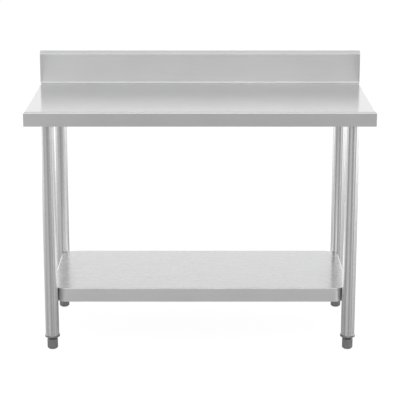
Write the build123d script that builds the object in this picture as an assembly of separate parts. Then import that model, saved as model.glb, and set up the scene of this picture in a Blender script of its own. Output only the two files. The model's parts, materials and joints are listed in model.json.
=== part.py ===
from build123d import *
import os
from math import atan2, degrees, hypot, sqrt

# Stainless steel work table with a rear upstand and a lower shelf.
# Millimetres, +Z up. The origin is on the floor under the middle of the table.
# X runs along the table and Y runs from the front (-Y) to the rear (+Y).

# ---- driving dimensions -------------------------------------------------
TABLE_LENGTH = 1200.0
TABLE_DEPTH = 600.0
WORKTOP_HEIGHT = 870.0
UPSTAND_HEIGHT = 120.0
UPSTAND_THICKNESS = 25.0
UPSTAND_BEVEL = 11.0
UPSTAND_COVE_RADIUS = 5.0
UPSTAND_RETURN = 22.0

TOP_SHEET = 1.2
TOP_EDGE_HEIGHT = 50.0
TOP_EDGE_RADIUS = 6.0
TOP_LIP = 12.0

LEG_DIAMETER = 48.0
LEG_WALL = 1.2
LEG_X = 526.0
LEG_Y = 236.0

SHELF_HEIGHT = 224.0
SHELF_SHEET = 1.0
SHELF_EDGE_HEIGHT = 50.0
SHELF_EDGE_RADIUS = 3.0
SHELF_CORNER_RADIUS = 40.0
SHELF_LIP = 10.0
SHELF_LEG_GAP = 2.0

CHANNEL_SHEET = 1.2
CHANNEL_WEB = 56.0
CHANNEL_DEPTH = 15.0
CHANNEL_FLANGE = 12.0
CHANNEL_END_GAP = 12.0
BEND_RADIUS = 2.5

APRON_RISE = 25.0

SOCKET_PLATE_LENGTH = 100.0
SOCKET_PLATE_THICKNESS = 3.0
SOCKET_PLATE_CORNER = 6.0
SOCKET_OUTER_DIAMETER = 56.0
SOCKET_LENGTH = 29.0
SOCKET_CLEARANCE = 0.1
SOCKET_RIM_CHAMFER = 1.5
SET_SCREW_DIAMETER = 8.0
SET_SCREW_LENGTH = 10.0
SET_SCREW_KEY = 4.0
SET_SCREW_CHAMFER = 0.6
SET_SCREW_ANGLES = (-45, 45)

LEG_BOTTOM = 53.5
COLLAR_DIAMETER = 53.0
COLLAR_BAND = 7.0
COLLAR_TAPER = 5.0
COLLAR_TIP_DIAMETER = 38.0
COLLAR_RIM_CHAMFER = 0.8
INSERT_LENGTH = 40.0
INSERT_CLEARANCE = 0.1
INSERT_CHAMFER = 1.5

STUD_DIAMETER = 16.0
THREAD_CLEARANCE = 0.05
STUD_ABOVE_FOOT = 52.0
STUD_IN_FOOT = 15.0
STUD_CHAMFER = 1.0

FOOT_GAP = 2.7
FOOT_DIAMETER = 37.6
FOOT_HEX_HEIGHT = 17.0
FOOT_TIP_DIAMETER = 28.0
FOOT_CHAMFER = 5.0
FOOT_RIM_CHAMFER = 0.8
GLIDE_STAND = 0.8
GLIDE_DIAMETER = 18.0
GLIDE_RECESS = 2.4
GLIDE_CLEARANCE = 0.1
GLIDE_PIN_DIAMETER = 7.0
GLIDE_PIN_LENGTH = 8.0
GLIDE_CHAMFER = 0.4

BOLT_DIAMETER = 8.0
BOLT_LENGTH = 16.0
BOLT_HEAD_FLATS = 13.0
BOLT_HEAD_HEIGHT = 5.3
BOLT_HOLE_CLEARANCE = 0.4
WASHER_DIAMETER = 16.0
WASHER_THICKNESS = 1.6
RIVET_NUT_DIAMETER = 11.0
RIVET_NUT_LENGTH = 15.0
RIVET_FLANGE_DIAMETER = 12.0
RIVET_FLANGE_THICKNESS = 1.2

# How far a cutting shape runs past the face that it cuts.
CUT_OVERLAP = 1.0

# ---- derived dimensions -------------------------------------------------
HALF_LENGTH = TABLE_LENGTH / 2
HALF_DEPTH = TABLE_DEPTH / 2
UPSTAND_FACE_Y = HALF_DEPTH - UPSTAND_THICKNESS
TOP_UNDERSIDE = WORKTOP_HEIGHT - TOP_SHEET
TOP_EDGE_BOTTOM = WORKTOP_HEIGHT - TOP_EDGE_HEIGHT
UPSTAND_TOP = WORKTOP_HEIGHT + UPSTAND_HEIGHT
CHANNEL_BOTTOM = TOP_UNDERSIDE - CHANNEL_DEPTH
LEG_RADIUS = LEG_DIAMETER / 2
LEG_BORE_RADIUS = LEG_RADIUS - LEG_WALL
LEG_TOP = CHANNEL_BOTTOM - SOCKET_PLATE_THICKNESS
COLLAR_BOTTOM = LEG_BOTTOM - COLLAR_BAND - COLLAR_TAPER
FOOT_TOP = COLLAR_BOTTOM - FOOT_GAP
SHELF_BOLT_HEIGHT = SHELF_HEIGHT - SHELF_EDGE_HEIGHT / 2
SET_SCREW_HEIGHT = LEG_TOP - SOCKET_LENGTH / 2

# Each leg's name, with the side of the table that it stands on.
LEGS = {
    "front_left": (-1, -1),
    "front_right": (1, -1),
    "rear_left": (-1, 1),
    "rear_right": (1, 1),
}


# ---- helpers ------------------------------------------------------------
def cylinder(radius, bottom, top):
    """A solid round bar on the Z axis between two heights."""
    bar = Cylinder(radius, top - bottom, align=(Align.CENTER, Align.CENTER, Align.MIN))
    return Pos(0, 0, bottom) * bar


def cone(bottom_radius, top_radius, bottom, top):
    """A solid cone frustum on the Z axis between two heights."""
    frustum = Cone(bottom_radius, top_radius, top - bottom, align=(Align.CENTER, Align.CENTER, Align.MIN))
    return Pos(0, 0, bottom) * frustum


def block(low, high):
    """A solid box between its lowest and highest corners."""
    size = [h - l for l, h in zip(low, high)]
    corner = Box(*size, align=(Align.MIN, Align.MIN, Align.MIN))
    return Pos(*low) * corner


def folded_strip(points, thickness, radii, start_x, end_x):
    """A sheet folded along X. The points (y, z) follow its outer face, with metal on the path's right."""
    path = FilletPolyline(*points, radius=radii)
    profile = make_face(offset(path, amount=thickness, side=Side.RIGHT))
    strip = extrude(Plane.YZ * profile, amount=end_x - start_x)
    return Pos(start_x, 0, 0) * strip


def hat_channel(length, top):
    """A hat channel along X and centred on it, with the upper faces of its flanges at the height top."""
    half_web = CHANNEL_WEB / 2
    half_width = half_web + CHANNEL_FLANGE
    web = top - CHANNEL_DEPTH + CHANNEL_SHEET
    points = [
        (-half_width, top),
        (-half_web, top),
        (-half_web, web),
        (half_web, web),
        (half_web, top),
        (half_width, top),
    ]
    return folded_strip(points, CHANNEL_SHEET, BEND_RADIUS, -length / 2, length / 2)


def at_leg(shape, side_x, side_y):
    """Puts a shape drawn on the Z axis, with +X towards the middle of the table, at one leg."""
    inward = degrees(atan2(-side_y, -side_x))
    return Pos(side_x * LEG_X, side_y * LEG_Y, 0) * Rot(0, 0, inward) * shape


def radial_bar(shape, angle, height):
    """Turns a shape drawn along +Z so that it points out of the leg's axis at an angle from local +X."""
    return Pos(0, 0, height) * Rot(0, 0, angle) * Rot(0, 90, 0) * shape


# ---- worktop ------------------------------------------------------------
def edge_block(inset, bottom, top, rear, radius):
    """A block as wide as the worktop less an inset, with its front and side top edges rounded."""
    low = (-HALF_LENGTH + inset, -HALF_DEPTH + inset, bottom)
    high = (HALF_LENGTH - inset, rear, top)
    solid = block(low, high)
    upper = solid.faces().sort_by(Axis.Z)[-1]
    edges = upper.edges().sort_by(Axis.Y)[:-1]
    return fillet(edges, radius)


def worktop_sheet():
    """The top, its folded front and side edges with their inward lips, and the upstand."""
    outer = edge_block(0, TOP_EDGE_BOTTOM, WORKTOP_HEIGHT, UPSTAND_FACE_Y, TOP_EDGE_RADIUS)
    hollow = edge_block(
        TOP_SHEET,
        TOP_EDGE_BOTTOM + TOP_SHEET,
        TOP_UNDERSIDE,
        HALF_DEPTH,
        TOP_EDGE_RADIUS - TOP_SHEET,
    )
    lip_opening = block(
        (-HALF_LENGTH + TOP_LIP, -HALF_DEPTH + TOP_LIP, TOP_EDGE_BOTTOM - CUT_OVERLAP),
        (HALF_LENGTH - TOP_LIP, HALF_DEPTH, TOP_EDGE_BOTTOM + 2 * TOP_SHEET),
    )
    points = [
        (UPSTAND_FACE_Y - UPSTAND_COVE_RADIUS - CUT_OVERLAP, WORKTOP_HEIGHT),
        (UPSTAND_FACE_Y, WORKTOP_HEIGHT),
        (UPSTAND_FACE_Y, UPSTAND_TOP - UPSTAND_BEVEL),
        (UPSTAND_FACE_Y + UPSTAND_BEVEL, UPSTAND_TOP),
        (HALF_DEPTH, UPSTAND_TOP),
        (HALF_DEPTH, UPSTAND_TOP - UPSTAND_RETURN),
    ]
    radii = [UPSTAND_COVE_RADIUS] + [BEND_RADIUS] * (len(points) - 3)
    half = HALF_LENGTH - TOP_SHEET
    upstand = folded_strip(points, TOP_SHEET, radii, -half, half)
    tray = outer - hollow - lip_opening
    cove_room = block(
        (-HALF_LENGTH, UPSTAND_FACE_Y - UPSTAND_COVE_RADIUS, TOP_UNDERSIDE - CUT_OVERLAP),
        (HALF_LENGTH, UPSTAND_FACE_Y, WORKTOP_HEIGHT + CUT_OVERLAP),
    )
    side_walls = block(
        (-half, -HALF_DEPTH, TOP_EDGE_BOTTOM - CUT_OVERLAP),
        (half, HALF_DEPTH, WORKTOP_HEIGHT + CUT_OVERLAP),
    )
    return tray - (cove_room & side_walls) + upstand


def upstand_end_cap(side):
    """The flat plate welded over one end of the hollow upstand. side is -1 for the left end."""
    corners = [
        (UPSTAND_FACE_Y, TOP_EDGE_BOTTOM),
        (HALF_DEPTH, TOP_EDGE_BOTTOM),
        (HALF_DEPTH, UPSTAND_TOP),
        (UPSTAND_FACE_Y + UPSTAND_BEVEL, UPSTAND_TOP),
        (UPSTAND_FACE_Y, UPSTAND_TOP - UPSTAND_BEVEL),
    ]
    face = make_face(Polyline(*corners, close=True))
    plate = extrude(Plane.YZ * face, amount=TOP_SHEET)
    start = -HALF_LENGTH if side < 0 else HALF_LENGTH - TOP_SHEET
    return Pos(start, 0, 0) * plate


def rear_apron():
    """The channel across the rear, from the worktop's lower edge to just above its surface."""
    points = [
        (UPSTAND_FACE_Y + TOP_SHEET, WORKTOP_HEIGHT + APRON_RISE),
        (HALF_DEPTH, WORKTOP_HEIGHT + APRON_RISE),
        (HALF_DEPTH, TOP_EDGE_BOTTOM),
        (HALF_DEPTH - TOP_LIP, TOP_EDGE_BOTTOM),
    ]
    half = HALF_LENGTH - TOP_SHEET
    return folded_strip(points, TOP_SHEET, BEND_RADIUS, -half, half)


def top_channel(side_y):
    """The hat channel along X over one pair of legs."""
    length = 2 * (HALF_LENGTH - TOP_SHEET - CHANNEL_END_GAP)
    return Pos(0, side_y * LEG_Y, 0) * hat_channel(length, TOP_UNDERSIDE)


def top_cross_channel():
    """The hat channel that joins the two long channels at the middle of the worktop."""
    half_width = CHANNEL_WEB / 2 + CHANNEL_FLANGE
    length = 2 * (LEG_Y - half_width)
    return Rot(0, 0, 90) * hat_channel(length, TOP_UNDERSIDE)


# ---- legs and their sockets ---------------------------------------------
def leg_socket():
    """The sleeve that holds the top of a leg, with a set screw hole on each side of +X."""
    sleeve_bottom = LEG_TOP - SOCKET_LENGTH
    sleeve = cylinder(SOCKET_OUTER_DIAMETER / 2, sleeve_bottom, LEG_TOP)
    lower_rim = sleeve.faces().sort_by(Axis.Z)[0].edges()
    sleeve = chamfer(lower_rim, SOCKET_RIM_CHAMFER)
    socket = sleeve - cylinder(LEG_RADIUS + SOCKET_CLEARANCE, sleeve_bottom - CUT_OVERLAP, LEG_TOP)
    hole = cylinder(SET_SCREW_DIAMETER / 2 + THREAD_CLEARANCE, 0, SOCKET_OUTER_DIAMETER)
    for angle in SET_SCREW_ANGLES:
        socket -= radial_bar(hole, angle, SET_SCREW_HEIGHT)
    return socket


def socket_plate():
    """The plate between a socket's sleeve and the channel above it, drawn on the Z axis."""
    plate = block(
        (-SOCKET_PLATE_LENGTH / 2, -CHANNEL_WEB / 2, LEG_TOP),
        (SOCKET_PLATE_LENGTH / 2, CHANNEL_WEB / 2, CHANNEL_BOTTOM),
    )
    return fillet(plate.edges().filter_by(Axis.Z), SOCKET_PLATE_CORNER)


def set_screw():
    """A headless screw along +Z from the leg's surface, with a hexagonal key recess in its outer end."""
    start = LEG_RADIUS
    end = start + SET_SCREW_LENGTH
    screw = cylinder(SET_SCREW_DIAMETER / 2, start, end)
    rims = screw.edges().filter_by(GeomType.CIRCLE)
    screw = chamfer(rims, SET_SCREW_CHAMFER)
    recess = RegularPolygon(SET_SCREW_KEY / 2, 6, major_radius=False)
    return screw - Pos(0, 0, end - SET_SCREW_KEY) * extrude(recess, amount=SET_SCREW_KEY)


def leg_tube():
    """A round tube from the foot collar to the socket plate, with a hole for the shelf's rivet nut."""
    tube = cylinder(LEG_RADIUS, LEG_BOTTOM, LEG_TOP)
    tube -= cylinder(LEG_BORE_RADIUS, LEG_BOTTOM - CUT_OVERLAP, LEG_TOP + CUT_OVERLAP)
    hole = cylinder(RIVET_NUT_DIAMETER / 2 + THREAD_CLEARANCE, 0, LEG_DIAMETER)
    return tube - radial_bar(hole, 0, SHELF_BOLT_HEIGHT)


def leg_collar():
    """The threaded insert pressed into a leg, with the tapered collar that shows below the tube."""
    collar = cylinder(COLLAR_DIAMETER / 2, LEG_BOTTOM - COLLAR_BAND, LEG_BOTTOM)
    upper_rim = collar.faces().sort_by(Axis.Z)[-1].edges()
    collar = chamfer(upper_rim, COLLAR_RIM_CHAMFER)
    taper = cone(COLLAR_TIP_DIAMETER / 2, COLLAR_DIAMETER / 2, COLLAR_BOTTOM, LEG_BOTTOM - COLLAR_BAND)
    plug = cylinder(LEG_BORE_RADIUS - INSERT_CLEARANCE, LEG_BOTTOM, LEG_BOTTOM + INSERT_LENGTH)
    plug = chamfer(plug.faces().sort_by(Axis.Z)[-1].edges(), INSERT_CHAMFER)
    bore_bottom = COLLAR_BOTTOM - CUT_OVERLAP
    bore_top = LEG_BOTTOM + INSERT_LENGTH + CUT_OVERLAP
    bore = cylinder(STUD_DIAMETER / 2 + THREAD_CLEARANCE, bore_bottom, bore_top)
    return collar + taper + plug - bore


# ---- feet ---------------------------------------------------------------
def foot_stud():
    """The foot's threaded stud, drawn at the thread's outer diameter."""
    stud = cylinder(STUD_DIAMETER / 2, FOOT_TOP - STUD_IN_FOOT, FOOT_TOP + STUD_ABOVE_FOOT)
    return chamfer(stud.edges().filter_by(GeomType.CIRCLE), STUD_CHAMFER)


def foot_cup():
    """The bullet-shaped foot: a round upper half and a hexagonal lower half with a chamfered tip."""
    radius = FOOT_DIAMETER / 2
    tip = FOOT_TIP_DIAMETER / 2
    shoulder = GLIDE_STAND + FOOT_HEX_HEIGHT
    upper = cylinder(radius, shoulder, FOOT_TOP)
    upper = chamfer(upper.faces().sort_by(Axis.Z)[-1].edges(), FOOT_RIM_CHAMFER)
    prism = Pos(0, 0, GLIDE_STAND) * extrude(RegularPolygon(radius, 6), amount=FOOT_HEX_HEIGHT)
    envelope = radius + CUT_OVERLAP
    tip_cone = cone(tip, envelope, GLIDE_STAND, GLIDE_STAND + FOOT_CHAMFER)
    tip_cone += cylinder(envelope, GLIDE_STAND + FOOT_CHAMFER, shoulder)
    cup = upper + (prism & tip_cone)
    cup -= cylinder(STUD_DIAMETER / 2, FOOT_TOP - STUD_IN_FOOT, FOOT_TOP + CUT_OVERLAP)
    cup -= cylinder(GLIDE_DIAMETER / 2 + GLIDE_CLEARANCE, 0, GLIDE_RECESS)
    cup -= cylinder(GLIDE_PIN_DIAMETER / 2 + GLIDE_CLEARANCE / 2, 0, GLIDE_RECESS + GLIDE_PIN_LENGTH)
    return cup


def foot_glide():
    """The plastic disc that the foot stands on and turns on, with its retaining pin."""
    disc_top = GLIDE_RECESS - GLIDE_CLEARANCE
    disc = cylinder(GLIDE_DIAMETER / 2, 0, disc_top)
    disc = chamfer(disc.faces().sort_by(Axis.Z)[0].edges(), GLIDE_CHAMFER)
    return disc + cylinder(GLIDE_PIN_DIAMETER / 2, disc_top, disc_top + GLIDE_PIN_LENGTH)


# ---- shelf --------------------------------------------------------------
def towards(start, end):
    """The unit vector from one point to another, in the plane."""
    length = hypot(end[0] - start[0], end[1] - start[1])
    return ((end[0] - start[0]) / length, (end[1] - start[1]) / length)


def arc(centre, radius, start, end):
    """The short arc of a circle between two unit directions from its centre."""
    middle = towards((0, 0), (start[0] + end[0], start[1] + end[1]))
    ends = [(centre[0] + radius * u[0], centre[1] + radius * u[1]) for u in (start, middle, end)]
    return ThreePointArc(*ends)


def shelf_outline(inset):
    """The shelf's plan, moved inwards by an inset. Each corner sweeps round and then back along its leg."""
    leg = (LEG_X, LEG_Y)
    saddle = LEG_RADIUS + SHELF_LEG_GAP
    reach = SHELF_CORNER_RADIUS + saddle
    back = sqrt(reach**2 - SHELF_CORNER_RADIUS**2)
    side_centre = (LEG_X - SHELF_CORNER_RADIUS, LEG_Y - back)
    end_centre = (LEG_X - back, LEG_Y - SHELF_CORNER_RADIUS)
    side_way = towards(side_centre, leg)
    end_way = towards(end_centre, leg)
    corner = SHELF_CORNER_RADIUS - inset
    quarter = Curve() + [
        Line((LEG_X - inset, 0), (LEG_X - inset, side_centre[1])),
        arc(side_centre, corner, (1, 0), side_way),
        arc(leg, saddle + inset, towards(leg, side_centre), towards(leg, end_centre)),
        arc(end_centre, corner, end_way, (0, 1)),
        Line((end_centre[0], LEG_Y - inset), (0, LEG_Y - inset)),
    ]
    half = quarter + mirror(quarter, Plane.YZ)
    whole = half + mirror(half, Plane.XZ)
    return make_face(whole.edges())


def shelf_layer(inset, bottom, top):
    """The shelf's plan, inset and extruded between two heights."""
    return Pos(0, 0, bottom) * extrude(shelf_outline(inset), amount=top - bottom)


def shelf_pan():
    """The shelf: a flat sheet with its edges folded down all round and a lip along their lower edge."""
    bottom = SHELF_HEIGHT - SHELF_EDGE_HEIGHT
    outer = shelf_layer(0, bottom, SHELF_HEIGHT)
    outer = fillet(outer.faces().sort_by(Axis.Z)[-1].edges(), SHELF_EDGE_RADIUS)
    hollow = shelf_layer(SHELF_SHEET, bottom + SHELF_SHEET, SHELF_HEIGHT - SHELF_SHEET)
    hollow = fillet(hollow.faces().sort_by(Axis.Z)[-1].edges(), SHELF_EDGE_RADIUS - SHELF_SHEET)
    opening = shelf_layer(SHELF_LIP, bottom - CUT_OVERLAP, bottom + 2 * SHELF_SHEET)
    pan = outer - hollow - opening
    hole = cylinder(BOLT_DIAMETER / 2 + BOLT_HOLE_CLEARANCE, LEG_RADIUS, LEG_DIAMETER)
    hole = radial_bar(hole, 0, SHELF_BOLT_HEIGHT)
    for side_x, side_y in LEGS.values():
        pan -= at_leg(hole, side_x, side_y)
    return pan


def shelf_channel():
    """The hat channel under the middle of the shelf."""
    length = 2 * (LEG_X - SHELF_LIP - CHANNEL_END_GAP)
    return hat_channel(length, SHELF_HEIGHT - SHELF_SHEET)


def rivet_nut():
    """A rivet nut in the leg's wall, drawn along +Z. Its flange spaces the shelf from the leg."""
    nut = cylinder(RIVET_NUT_DIAMETER / 2, LEG_RADIUS - RIVET_NUT_LENGTH, LEG_RADIUS)
    nut += cylinder(RIVET_FLANGE_DIAMETER / 2, LEG_RADIUS, LEG_RADIUS + RIVET_FLANGE_THICKNESS)
    return nut - cylinder(BOLT_DIAMETER / 2 + THREAD_CLEARANCE, 0, LEG_DIAMETER)


def shelf_washer():
    """A flat washer against the inside of the shelf's edge, drawn along +Z."""
    start = LEG_RADIUS + SHELF_LEG_GAP + SHELF_SHEET
    washer = cylinder(WASHER_DIAMETER / 2, start, start + WASHER_THICKNESS)
    return washer - cylinder(BOLT_DIAMETER / 2 + BOLT_HOLE_CLEARANCE, 0, LEG_DIAMETER)


def shelf_bolt():
    """A hexagon-head bolt that runs through the shelf's edge into the rivet nut, drawn along +Z."""
    seat = LEG_RADIUS + SHELF_LEG_GAP + SHELF_SHEET + WASHER_THICKNESS
    flats = BOLT_HEAD_FLATS / 2
    hexagon = RegularPolygon(flats, 6, major_radius=False)
    head = Pos(0, 0, seat) * extrude(hexagon, amount=BOLT_HEAD_HEIGHT)
    crown = cone(flats + BOLT_HEAD_HEIGHT, flats, seat, seat + BOLT_HEAD_HEIGHT)
    shank = cylinder(BOLT_DIAMETER / 2, seat - BOLT_LENGTH, seat)
    return (head & crown) + shank


# ---- assembly -----------------------------------------------------------
def build_parts():
    """Every node's shape, by name, in its place on the table."""
    parts = {
        "worktop_sheet": worktop_sheet(),
        "upstand_end_cap_left": upstand_end_cap(-1),
        "upstand_end_cap_right": upstand_end_cap(1),
        "rear_apron": rear_apron(),
        "top_channel_front": top_channel(-1),
        "top_channel_rear": top_channel(1),
        "top_channel_cross": top_cross_channel(),
        "shelf_pan": shelf_pan(),
        "shelf_channel": shelf_channel(),
    }
    at_every_leg = {
        "leg_socket": leg_socket(),
        "leg": leg_tube(),
        "leg_collar": leg_collar(),
    }
    upright_at_leg = {
        "foot_stud": foot_stud(),
        "foot_cup": foot_cup(),
        "foot_glide": foot_glide(),
    }
    plate = socket_plate()
    for leg, (side_x, side_y) in LEGS.items():
        for name, shape in at_every_leg.items():
            parts[f"{name}_{leg}"] = at_leg(shape, side_x, side_y)
        parts[f"leg_socket_{leg}"] += Pos(side_x * LEG_X, side_y * LEG_Y, 0) * plate
        for name, shape in upright_at_leg.items():
            parts[f"{name}_{leg}"] = Pos(side_x * LEG_X, side_y * LEG_Y, 0) * shape
    fasteners = {
        "leg_rivet_nuts": [radial_bar(rivet_nut(), 0, SHELF_BOLT_HEIGHT)],
        "shelf_washers": [radial_bar(shelf_washer(), 0, SHELF_BOLT_HEIGHT)],
        "shelf_bolts": [radial_bar(shelf_bolt(), 0, SHELF_BOLT_HEIGHT)],
        "socket_set_screws": [
            radial_bar(set_screw(), angle, SET_SCREW_HEIGHT) for angle in SET_SCREW_ANGLES
        ],
    }
    for name, shapes in fasteners.items():
        placed = [at_leg(shape, *sides) for shape in shapes for sides in LEGS.values()]
        parts[name] = Compound(children=placed)
    return parts


os.makedirs("parts", exist_ok=True)
for node, part in build_parts().items():
    export_step(part, f"parts/{node}.step")
    print(node, f"{part.volume:.0f} mm3")
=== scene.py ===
import json
import math

import bmesh
import bpy
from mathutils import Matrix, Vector


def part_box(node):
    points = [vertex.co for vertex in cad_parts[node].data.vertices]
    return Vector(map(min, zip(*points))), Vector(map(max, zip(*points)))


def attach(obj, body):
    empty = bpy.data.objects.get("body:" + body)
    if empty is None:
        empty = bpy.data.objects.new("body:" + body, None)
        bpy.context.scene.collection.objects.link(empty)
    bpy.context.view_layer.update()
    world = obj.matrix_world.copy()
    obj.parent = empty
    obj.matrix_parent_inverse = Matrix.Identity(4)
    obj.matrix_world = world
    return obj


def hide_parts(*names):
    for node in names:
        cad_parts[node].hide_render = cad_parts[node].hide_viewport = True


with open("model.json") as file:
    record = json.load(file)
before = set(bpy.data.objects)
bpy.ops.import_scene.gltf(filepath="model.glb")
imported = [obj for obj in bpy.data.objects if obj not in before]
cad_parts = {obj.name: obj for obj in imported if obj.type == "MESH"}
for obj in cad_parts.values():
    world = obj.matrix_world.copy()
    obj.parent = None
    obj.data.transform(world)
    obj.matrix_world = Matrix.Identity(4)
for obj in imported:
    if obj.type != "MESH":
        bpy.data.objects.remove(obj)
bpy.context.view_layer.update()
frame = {"nodes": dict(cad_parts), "record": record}
nodes = frame["nodes"]
scene = bpy.context.scene
MM = 0.001
LEGS = ("front_left", "front_right", "rear_left", "rear_right")
WHITE = (1, 1, 1, 1)

# ---- the view -----------------------------------------------------------
LENS = 132.7             # millimetres, on a sensor 36 mm wide
SENSOR_WIDTH = 36.0
CAMERA_PLACE = (0.0, -5.208, 1.832)
CAMERA_DIP = 14.497      # degrees below level

# ---- the studio ---------------------------------------------------------
# Brightness of each side of the studio at these heights, from the horizon (0) to overhead (1)
STUDIO_HEIGHTS = (0.0, 0.17, 0.4, 0.7, 1.0)
STUDIO_FRONT = (0.0, 0.45, 1.70, 2.10, 0.75)
STUDIO_BEHIND = (0.2, 1.75, 1.20, 0.60, 0.75)
STUDIO_SIDES = (0.3, 0.35, 0.35, 0.20, 0.75)
PANEL_HEIGHT = 2.4
PANEL_CLEARANCE = 0.05   # between the floor and a panel
FLOOR_REACH = 40.0
FLOOR_MATT = 0.40        # how the floor lights the table
FLOOR_GLOW = 0.12
SHOWN_FLOOR_MATT = 0.12  # how the floor looks: nearly white, with a faint shadow
SHOWN_FLOOR_GLOW = 0.93

# ---- finishes -----------------------------------------------------------
NOISE_SPAN = (0.3, 0.7)  # the range that most of a noise's values lie in
EDGE_RADIUS = 1.6 * MM
# painted highlight: the pale tone that edges and folds are lightened towards, for the highlight on their
# rounded radius
EDGE_HIGHLIGHT_TONE = (0.86, 0.86, 0.865, 1)
SCRATCH_TONE = (0.95, 0.95, 0.95, 1)
# painted reflection: the dark tone and the scale of the bands that stand in for the studio mirrored along
# the leg tubes
REFLECTION_STREAK_TONE = (0.16, 0.16, 0.16, 1)
REFLECTION_STREAK_SCALE = (4.5, 4.5, 0.05)
STEELS = {
    "worktop_steel": dict(
        colour=(0.65, 0.65, 0.653), roughness=0.28, grain="X", contrast=0.06, bump=0.012,
        anisotropy=0.9, wiped=0.06,
    ),
    "shelf_steel": dict(
        colour=(0.70, 0.70, 0.703), roughness=0.33, grain="X", contrast=0.05, bump=0.01,
        anisotropy=0.9, wiped=0.05,
    ),
    # painted light: the leg tubes' colour is set far paler than the sheet steel's, standing in for the side
    # light that they mirror
    "leg_tube_steel": dict(
        colour=(0.94, 0.94, 0.943), roughness=0.26, grain="Z", contrast=0.02, bump=0.005,
        fine=12.0, length=900.0, anisotropy=0.8, turn=0.25, reflection_streaks=0.40,
    ),
    "hidden_steel": dict(colour=(0.46, 0.465, 0.47), roughness=0.34, grain="X"),
    "socket_casting": dict(colour=(0.42, 0.42, 0.425), roughness=0.40, grain="Z", fine=500.0, length=300.0),
    "collar_steel": dict(colour=(0.38, 0.38, 0.385), roughness=0.30, grain="Z", fine=300.0, length=1500.0),
    "foot_steel": dict(colour=(0.34, 0.34, 0.345), roughness=0.28, grain="Z", fine=300.0, length=1500.0),
    # painted shade: the studs are near black, for the shadowed gap between each collar and its foot
    "stud_steel": dict(colour=(0.09, 0.09, 0.092), roughness=0.48, grain="Z", fine=600.0, length=1200.0),
    "zinc_fastener": dict(colour=(0.5, 0.5, 0.49), roughness=0.30, grain="Z", fine=600.0, length=400.0),
    "black_screw": dict(colour=(0.05, 0.05, 0.055), roughness=0.40, grain="Z", fine=600.0, length=400.0),
    "weld_steel": dict(colour=(0.44, 0.42, 0.39), roughness=0.38, grain="Z", fine=900.0, length=900.0),
}

# ---- pieces that only the visual model has ------------------------------
THREAD_PITCH = 2.0 * MM
THREAD_DEPTH = 1.227 * MM
THREAD_CHAMFER = 1.0 * MM
THREAD_SEGMENTS = 40
BEAD_RADIUS = 28.6 * MM  # of the ring, just outside a socket's tube
BEAD_SIZE = 1.7 * MM
BEAD_RIPPLES = 44
BEAD_RIPPLE_STEPS = 4
BEAD_SIDES = 8
SPOT_RADIUS = 3.2 * MM
SPOT_RISE = 0.25 * MM
SPOT_PITCH = 85 * MM     # along the long channels
SPOT_FROM_EDGE = 5.5 * MM
SPOT_FROM_END = 20 * MM
SPOT_SEGMENTS = 20
CROSS_SPOTS = 5          # on each side of the cross channel
CROSS_SPOT_FROM_END = 30 * MM
CHANNEL_SHEET = 1.2 * MM


# ---- shader nodes -------------------------------------------------------
class Nodes:
    """A short way to write a shader's nodes and links."""

    def __init__(self, tree):
        self.tree = tree
        tree.nodes.clear()

    def add(self, kind, inputs=None, **settings):
        """One node. An input is a value, or another node's output socket."""
        node = self.tree.nodes.new(kind)
        for name, value in settings.items():
            setattr(node, name, value)
        for name, value in (inputs or {}).items():
            if isinstance(value, bpy.types.NodeSocket):
                self.tree.links.new(value, node.inputs[name])
            else:
                node.inputs[name].default_value = value
        return node

    def math(self, operation, *values, clamp=False):
        """A Math node's output."""
        inputs = dict(enumerate(values))
        return self.add("ShaderNodeMath", inputs, operation=operation, use_clamp=clamp).outputs[0]

    def total(self, *values):
        """The sum of several values."""
        result = values[0]
        for value in values[1:]:
            result = self.math("ADD", result, value)
        return result

    def ramp(self, value, low, high, from_low=0.0, from_high=1.0):
        """A value mapped smoothly and clamped from one range to another."""
        inputs = {"Value": value, "From Min": from_low, "From Max": from_high, "To Min": low, "To Max": high}
        return self.add("ShaderNodeMapRange", inputs, interpolation_type="SMOOTHSTEP").outputs[0]

    def swing(self, noise, amount, span=NOISE_SPAN):
        """A noise as a swing from -amount to amount."""
        return self.ramp(noise, -amount, amount, *span)

    def noise(self, coordinates, scale, detail, **more):
        """A noise's value."""
        inputs = {"Vector": coordinates, "Scale": scale, "Detail": detail, **more}
        return self.add("ShaderNodeTexNoise", inputs).outputs["Fac"]

    def mix(self, factor, first, second):
        """Two values mixed by a factor."""
        return self.add("ShaderNodeMix", {0: factor, 2: first, 3: second}).outputs[0]

    def mix_colour(self, factor, first, second):
        """Two colours mixed by a factor."""
        inputs = {0: factor, 6: first, 7: second}
        return self.add("ShaderNodeMix", inputs, data_type="RGBA").outputs[2]

    def mix_shader(self, factor, first, second):
        """Two shaders mixed by a factor."""
        return self.add("ShaderNodeMixShader", {0: factor, 1: first, 2: second}).outputs[0]

    def seen_by_camera(self):
        """1 for what the camera sees directly, and 0 for what lights the table or is mirrored in it."""
        return self.add("ShaderNodeLightPath").outputs["Is Camera Ray"]


def new_material(name):
    """An empty material and its nodes."""
    material = bpy.data.materials.new(name)
    material.use_nodes = True
    return material, Nodes(material.node_tree)


# ---- camera, floor and studio -------------------------------------------
def make_camera():
    """A long lens in front of the table, a little above the upstand, looking slightly down."""
    data = bpy.data.cameras.new("camera")
    data.sensor_width = SENSOR_WIDTH
    data.lens = LENS
    data.clip_start = 0.1
    data.clip_end = 100.0
    camera = bpy.data.objects.new("camera", data)
    scene.collection.objects.link(camera)
    camera.location = CAMERA_PLACE
    camera.rotation_euler = (math.radians(90.0 - CAMERA_DIP), 0.0, 0.0)
    scene.camera = camera


def brightness(n, height, values):
    """How bright one side of the studio is, from the horizon up to overhead."""
    ramp = n.add("ShaderNodeValToRGB", {0: height})
    stops = ramp.color_ramp.elements
    while len(stops) < len(values):
        stops.new(0.5)
    for stop, place, value in zip(stops, STUDIO_HEIGHTS, values):
        stop.position = place
        stop.color = (value, value, value, 1.0)
    return ramp.outputs[0]


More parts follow.
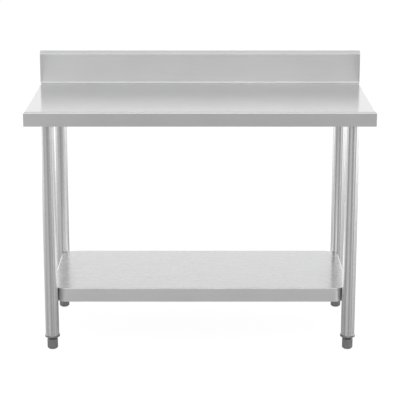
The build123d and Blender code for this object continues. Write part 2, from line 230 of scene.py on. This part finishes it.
def make_world():
    """A white studio. What the metal mirrors is brighter behind and above the table than in front of it."""
    world = bpy.data.worlds.new("studio")
    world.use_nodes = True
    scene.world = world
    n = Nodes(world.node_tree)
    direction = n.add("ShaderNodeTexCoord").outputs["Generated"]
    x, y, z = n.add("ShaderNodeSeparateXYZ", {0: direction}).outputs
    y_squared = n.math("MULTIPLY", y, y)
    level = n.total(n.math("MULTIPLY", x, x), y_squared, 1e-6)
    depth = n.math("DIVIDE", y_squared, level)
    facing = n.math("GREATER_THAN", y, 0.0)
    front = brightness(n, z, STUDIO_FRONT)
    behind = brightness(n, z, STUDIO_BEHIND)
    sides = brightness(n, z, STUDIO_SIDES)
    glow = n.mix(depth, sides, n.mix(facing, front, behind))
    studio = n.add("ShaderNodeBackground", {"Color": WHITE, "Strength": glow})
    plain = n.add("ShaderNodeBackground", {"Color": WHITE, "Strength": 1.0})
    both = n.mix_shader(n.seen_by_camera(), studio.outputs[0], plain.outputs[0])
    n.add("ShaderNodeOutputWorld", {"Surface": both})


def add_panel(name, turn, distance, width, radiance):
    """A soft light panel that faces the table. turn is in degrees from straight in front of it."""
    data = bpy.data.lights.new("panel_" + name, "AREA")
    data.shape = "RECTANGLE"
    data.size = width
    data.size_y = PANEL_HEIGHT
    data.energy = radiance * width * PANEL_HEIGHT * math.pi
    panel = bpy.data.objects.new("panel_" + name, data)
    scene.collection.objects.link(panel)
    angle = math.radians(turn)
    middle = PANEL_HEIGHT / 2 + PANEL_CLEARANCE
    panel.location = (distance * math.sin(angle), -distance * math.cos(angle), middle)
    panel.rotation_euler = (math.pi / 2, 0.0, angle)
    panel.visible_camera = False


def make_panels():
    """Soft light panels that stand round the table on the floor, out of the picture."""
    add_panel("beside_left", turn=-85.0, distance=3.0, width=2.0, radiance=1.0)
    add_panel("beside_right", turn=85.0, distance=3.2, width=2.4, radiance=1.2)
    add_panel("behind_left", turn=-132.0, distance=2.6, width=2.2, radiance=1.2)
    add_panel("behind_right", turn=132.0, distance=2.6, width=2.2, radiance=1.2)
    add_panel("front_left", turn=-18.0, distance=5.2, width=0.6, radiance=0.7)
    add_panel("front_right", turn=40.0, distance=4.8, width=2.0, radiance=1.1)


def matt_and_glow(n, shade, strength):
    """A matt shader that also gives off light of its own."""
    matt = n.add("ShaderNodeBsdfDiffuse", {"Color": (shade, shade, shade, 1)})
    glow = n.add("ShaderNodeEmission", {"Color": WHITE, "Strength": strength})
    return n.add("ShaderNodeAddShader", {0: matt.outputs[0], 1: glow.outputs[0]}).outputs[0]


def make_floor():
    """A plain white floor that keeps only a faint shadow of the table. From below it is clear."""
    mesh = bpy.data.meshes.new("floor")
    bm = bmesh.new()
    bmesh.ops.create_grid(bm, x_segments=4, y_segments=4, size=FLOOR_REACH)
    bm.to_mesh(mesh)
    bm.free()
    floor = bpy.data.objects.new("floor", mesh)
    scene.collection.objects.link(floor)
    material, n = new_material("floor_white")
    lighting = matt_and_glow(n, FLOOR_MATT, FLOOR_GLOW)
    shown = matt_and_glow(n, SHOWN_FLOOR_MATT, SHOWN_FLOOR_GLOW)
    both = n.mix_shader(n.seen_by_camera(), lighting, shown)
    clear = n.add("ShaderNodeBsdfTransparent").outputs[0]
    from_below = n.add("ShaderNodeNewGeometry").outputs["Backfacing"]
    n.add("ShaderNodeOutputMaterial", {"Surface": n.mix_shader(from_below, both, clear)})
    mesh.materials.append(material)


# ---- materials ----------------------------------------------------------
def stretched_noise(n, coordinates, along, fine, length, detail=4.0):
    """Noise drawn out along one axis: fine is features per metre across it and length along it."""
    scale = [fine, fine, fine]
    scale["XYZ".index(along)] = length
    mapping = n.add("ShaderNodeMapping", {"Vector": coordinates, "Scale": scale})
    return n.noise(mapping.outputs[0], 1.0, detail, Roughness=0.6)


def brushed_fibre(n, coordinates, normal, grain, fine, length):
    """Fine fibres along the grain, which turn onto another axis where a face looks along the grain."""
    facing = n.math("ABSOLUTE", normal.outputs["XYZ".index(grain)])
    across = n.ramp(facing, 0.0, 1.0, 0.55, 0.75)
    other = "X" if grain == "Z" else "Z"
    along_grain = stretched_noise(n, coordinates, grain, fine, length)
    across_grain = stretched_noise(n, coordinates, other, fine, length)
    return n.mix(across, along_grain, across_grain)


def worn_and_highlit_edges(n):
    """1 on an edge or fold and 0 on the flats, from how far a rounded normal turns from the true one. The
    mask lightens edges as a painted highlight and makes them smoother, as wear does.
    """
    rounded = n.add("ShaderNodeBevel", {"Radius": EDGE_RADIUS}, samples=4).outputs[0]
    true = n.add("ShaderNodeNewGeometry").outputs["True Normal"]
    agree = n.add("ShaderNodeVectorMath", {0: rounded, 1: true}, operation="DOT_PRODUCT").outputs["Value"]
    return n.ramp(agree, 1.0, 0.0, 0.80, 0.99)


def scratches_one_way(n, coordinates, turn, offset):
    """Sparse hairline scratches in one direction, as a mask."""
    inputs = {"Vector": coordinates, "Rotation": (turn, turn, turn), "Location": (offset, 0, 0)}
    turned = n.add("ShaderNodeMapping", inputs).outputs[0]
    noise = stretched_noise(n, turned, "X", 420.0, 9.0, detail=1.0)
    return n.ramp(noise, 0.0, 1.0, 0.74, 0.79)


def fine_scratches(n, coordinates):
    """Sparse hairline scratches in two directions, as a mask."""
    one_way = scratches_one_way(n, coordinates, 0.35, 3.1)
    other_way = scratches_one_way(n, coordinates, -0.6, 8.7)
    return n.math("MAXIMUM", one_way, other_way)


def painted_reflection_streaks(n, generated, strength, tone):
    """Painted reflections: wide dark bands along a tube, for the dark parts of the studio that a polished
    tube mirrors. They darken the tone by up to the strength.
    """
    drawn = n.add("ShaderNodeMapping", {"Vector": generated, "Scale": REFLECTION_STREAK_SCALE})
    reflected_lines = n.noise(drawn.outputs[0], 1.0, 1.0)
    return n.mix_colour(n.ramp(reflected_lines, strength, 0.0, 0.38, 0.62), tone, REFLECTION_STREAK_TONE)


def steel(
    name, colour, roughness, grain, contrast=0.10, bump=0.02, fine=1400.0, length=14.0,
    anisotropy=0.0, turn=0.0, reflection_streaks=0.0, wiped=0.0,
):
    """Brushed stainless steel. The grain runs along one axis, and turns on the faces across it.

    contrast and bump are how strong the grain is, and fine and length are its features per metre
    across it and along it. turn is the highlight's turn, streaks is how dark the painted reflection
    bands on a tube are, and wiped is how much smoother level faces are than upright ones.
    """
    material, n = new_material(name)
    place = n.add("ShaderNodeTexCoord")
    here = place.outputs["Object"]
    normal = n.add("ShaderNodeSeparateXYZ", {0: place.outputs["Normal"]})
    fibre = brushed_fibre(n, here, normal, grain, fine, length)
    bands = stretched_noise(n, here, grain, fine / 6, length / 4, detail=2.0)
    cloud = n.noise(here, 7.0, 3.0)
    wear = n.noise(here, 60.0, 6.0, Roughness=0.7)
    edges = worn_and_highlit_edges(n)
    scratches = fine_scratches(n, here)

    shade = n.total(n.swing(fibre, contrast), n.swing(cloud, 0.03), n.swing(bands, 0.5 * contrast))
    dark = [c * 0.8 for c in colour]
    light = [min(1.0, c * 1.2) for c in colour]
    tone = n.mix_colour(n.math("ADD", shade, 0.5, clamp=True), (*dark, 1), (*light, 1))
    # painted reflection: dark bands down the tubes, for the dark parts of the studio that they mirror
    if reflection_streaks:
        tone = painted_reflection_streaks(n, place.outputs["Generated"], reflection_streaks, tone)
    # painted highlight: edges and folds are lightened towards a pale tone; the same mask makes them smoother
    # below, as real wear does
    tone = n.mix_colour(n.math("MULTIPLY", edges, 0.45), tone, EDGE_HIGHLIGHT_TONE)
    tone = n.mix_colour(n.math("MULTIPLY", scratches, 0.12), tone, SCRATCH_TONE)

    polish = n.total(
        n.swing(fibre, -0.3 * contrast),
        n.swing(cloud, 0.003),
        n.swing(wear, 0.006, span=(0.35, 0.65)),
        n.math("MULTIPLY", edges, -0.06),
        n.math("MULTIPLY", scratches, 0.05),
    )
    if wiped:
        level = n.math("ABSOLUTE", normal.outputs["Z"])
        polish = n.total(polish, n.ramp(level, wiped, -wiped, 0.1, 0.9))

    relief = n.add("ShaderNodeBump", {"Height": fibre, "Strength": bump, "Distance": 0.4 * MM})
    inputs = {
        "Base Color": tone,
        "Roughness": n.math("ADD", polish, roughness, clamp=True),
        "Metallic": 1.0,
        "Normal": relief.outputs[0],
        "Anisotropic": anisotropy,
        "Anisotropic Rotation": turn,
    }
    if anisotropy:
        inputs["Tangent"] = n.add("ShaderNodeTangent", direction_type="RADIAL", axis=grain).outputs[0]
    surface = n.add("ShaderNodeBsdfPrincipled", inputs)
    n.add("ShaderNodeOutputMaterial", {"Surface": surface.outputs[0]})
    return material


def plastic(name, colour, roughness):
    """Moulded plastic with a fine matt texture and paler scuffs."""
    material, n = new_material(name)
    here = n.add("ShaderNodeTexCoord").outputs["Object"]
    cells = n.noise(here, 900.0, 3.0)
    scuff = n.noise(here, 120.0, 5.0)
    worn = [min(1.0, c * 2.2) for c in colour]
    relief = n.add("ShaderNodeBump", {"Height": cells, "Strength": 0.2, "Distance": 0.2 * MM})
    inputs = {
        "Base Color": n.mix_colour(n.ramp(scuff, 0.0, 0.8, 0.45, 0.8), (*colour, 1), (*worn, 1)),
        "Roughness": n.ramp(cells, roughness - 0.08, roughness + 0.08),
        "Normal": relief.outputs[0],
    }
    surface = n.add("ShaderNodeBsdfPrincipled", inputs)
    n.add("ShaderNodeOutputMaterial", {"Surface": surface.outputs[0]})
    return material


def make_materials():
    """One finish for each material slot of the record, and one more for the welds."""
    made = {name: steel(name, **look) for name, look in STEELS.items()}
    made["glide_plastic"] = plastic("glide_plastic", (0.03, 0.03, 0.032), 0.55)
    return made


def dress_nodes(finishes):
    """Gives every CAD node the finish of its slot in the record."""
    for part in frame["record"]["subparts"]:
        node = nodes[part["node"]]
        node.data.materials.clear()
        node.data.materials.append(finishes[part["material_slot"]])


# ---- pieces -------------------------------------------------------------
def add_piece(name, bm, material, body):
    """Makes a shown piece from a bmesh. It rides a body and takes a slot's finish."""
    for face in bm.faces:
        face.smooth = True
    bmesh.ops.recalc_face_normals(bm, faces=bm.faces)
    mesh = bpy.data.meshes.new(name)
    bm.to_mesh(mesh)
    bm.free()
    mesh.materials.append(material)
    piece = bpy.data.objects.new(name, mesh)
    scene.collection.objects.link(piece)
    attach(piece, body)
    return piece


def add_ring(bm, points):
    """A row of vertices, which has its first vertex again at its end."""
    row = [bm.verts.new(point) for point in points]
    return row + row[:1]


def join_rows(bm, rows):
    """Faces between each row of vertices and the next."""
    for lower, upper in zip(rows, rows[1:]):
        for k in range(len(lower) - 1):
            bm.faces.new((lower[k], lower[k + 1], upper[k + 1], upper[k]))


def threaded_stud(node):
    """The thread of a foot's stud as a real right-hand helix, inside the CAD stud's box."""
    low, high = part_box(node)
    centre = (low + high) / 2
    radius = (high.x - low.x) / 2
    root = radius - THREAD_DEPTH
    crest = 0.125 * THREAD_PITCH
    flank = 0.3125 * THREAD_PITCH
    profile = ((0.0, root), (flank, radius), (flank + crest, radius), (2 * flank + crest, root))
    bm = bmesh.new()
    rows = []
    turns = int((high.z - low.z) / THREAD_PITCH) + 2
    for turn in range(-1, turns):
        for rise, reach in profile:
            row = []
            for k in range(THREAD_SEGMENTS + 1):
                angle = 2 * math.pi * k / THREAD_SEGMENTS
                z = low.z + (turn + k / THREAD_SEGMENTS) * THREAD_PITCH + rise
                z = min(max(z, low.z), high.z)
                from_end = min(z - low.z, high.z - z)
                r = min(reach, radius - max(0.0, THREAD_CHAMFER - from_end))
                row.append(bm.verts.new((centre.x + r * math.cos(angle), centre.y + r * math.sin(angle), z)))
            rows.append(row)
    join_rows(bm, rows)
    bmesh.ops.remove_doubles(bm, verts=bm.verts, dist=0.02 * MM)
    bmesh.ops.dissolve_degenerate(bm, edges=bm.edges, dist=0.01 * MM)
    bmesh.ops.holes_fill(bm, edges=bm.edges, sides=0)
    return bm


def add_threads(finishes):
    """Real threads in place of the four plain studs."""
    for leg in LEGS:
        node = "foot_stud_" + leg
        bm = threaded_stud(node)
        # the threads take the studs' near-black finish, which is painted shade for the gap under each collar
        piece = add_piece("thread_" + leg, bm, finishes["stud_steel"], "foot_" + leg)
        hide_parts(node)


def weld_bead(bm, centre):
    """A ring of weld with ripples, laid round a socket's tube against the plate above it."""
    steps = BEAD_RIPPLES * BEAD_RIPPLE_STEPS
    half_height = 0.8 * BEAD_SIZE
    rows = []
    for k in range(steps):
        angle = 2 * math.pi * k / steps
        ripple = 0.12 * math.sin(2 * math.pi * k / BEAD_RIPPLE_STEPS)
        swell = 1.0 + ripple + 0.05 * math.sin(5 * angle)
        points = []
        for j in range(BEAD_SIDES):
            turn = 2 * math.pi * j / BEAD_SIDES
            out = BEAD_RADIUS + BEAD_SIZE * swell * math.cos(turn)
            up = centre.z - half_height + half_height * math.sin(turn)
            points.append((centre.x + out * math.cos(angle), centre.y + out * math.sin(angle), up))
        rows.append(add_ring(bm, points))
    join_rows(bm, rows + rows[:1])


def add_socket_welds(finishes):
    """Weld beads round the four sockets under the worktop."""
    bm = bmesh.new()
    for leg in LEGS:
        low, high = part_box("leg_" + leg)
        centre = (low + high) / 2
        centre.z = high.z
        weld_bead(bm, centre)
    add_piece("socket_weld_beads", bm, finishes["weld_steel"], "table")


def spot_weld(bm, centre):
    """A shallow round spot-weld mark on a face that looks down: a raised rim round a dimple."""
    rows = []
    for reach, rise in ((1.0, 0.0), (0.86, 0.9), (0.72, 1.0), (0.5, 0.45), (0.2, 0.3)):
        points = []
        for k in range(SPOT_SEGMENTS):
            angle = -2 * math.pi * k / SPOT_SEGMENTS
            out = Vector((math.cos(angle), math.sin(angle), 0.0)) * SPOT_RADIUS * reach
            points.append(centre + out - Vector((0, 0, SPOT_RISE * rise)))
        rows.append(add_ring(bm, points))
    join_rows(bm, rows)
    bm.faces.new(rows[-1][:-1])


def spread(low, high, margin, count):
    """Evenly spaced places between two ends, with a margin at each end."""
    return [low + margin + (high - low - 2 * margin) * k / (count - 1) for k in range(count)]


def add_spot_welds(finishes):
    """Spot welds along the flanges of the channels under the worktop and the shelf."""
    bm = bmesh.new()
    for node in ("top_channel_front", "top_channel_rear", "shelf_channel"):
        low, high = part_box(node)
        count = int((high.x - low.x) / SPOT_PITCH) + 1
        for y in (low.y + SPOT_FROM_EDGE, high.y - SPOT_FROM_EDGE):
            for x in spread(low.x, high.x, SPOT_FROM_END, count):
                spot_weld(bm, Vector((x, y, high.z - CHANNEL_SHEET)))
    low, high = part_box("top_channel_cross")
    for x in (low.x + SPOT_FROM_EDGE, high.x - SPOT_FROM_EDGE):
        for y in spread(low.y, high.y, CROSS_SPOT_FROM_END, CROSS_SPOTS):
            spot_weld(bm, Vector((x, y, high.z - CHANNEL_SHEET)))
    add_piece("channel_spot_welds", bm, finishes["weld_steel"], "table")


# ---- the scene ----------------------------------------------------------
make_camera()
make_world()
make_panels()
make_floor()
scene.view_settings.view_transform = "Standard"
finishes = make_materials()
dress_nodes(finishes)
add_threads(finishes)
add_socket_welds(finishes)
add_spot_welds(finishes)
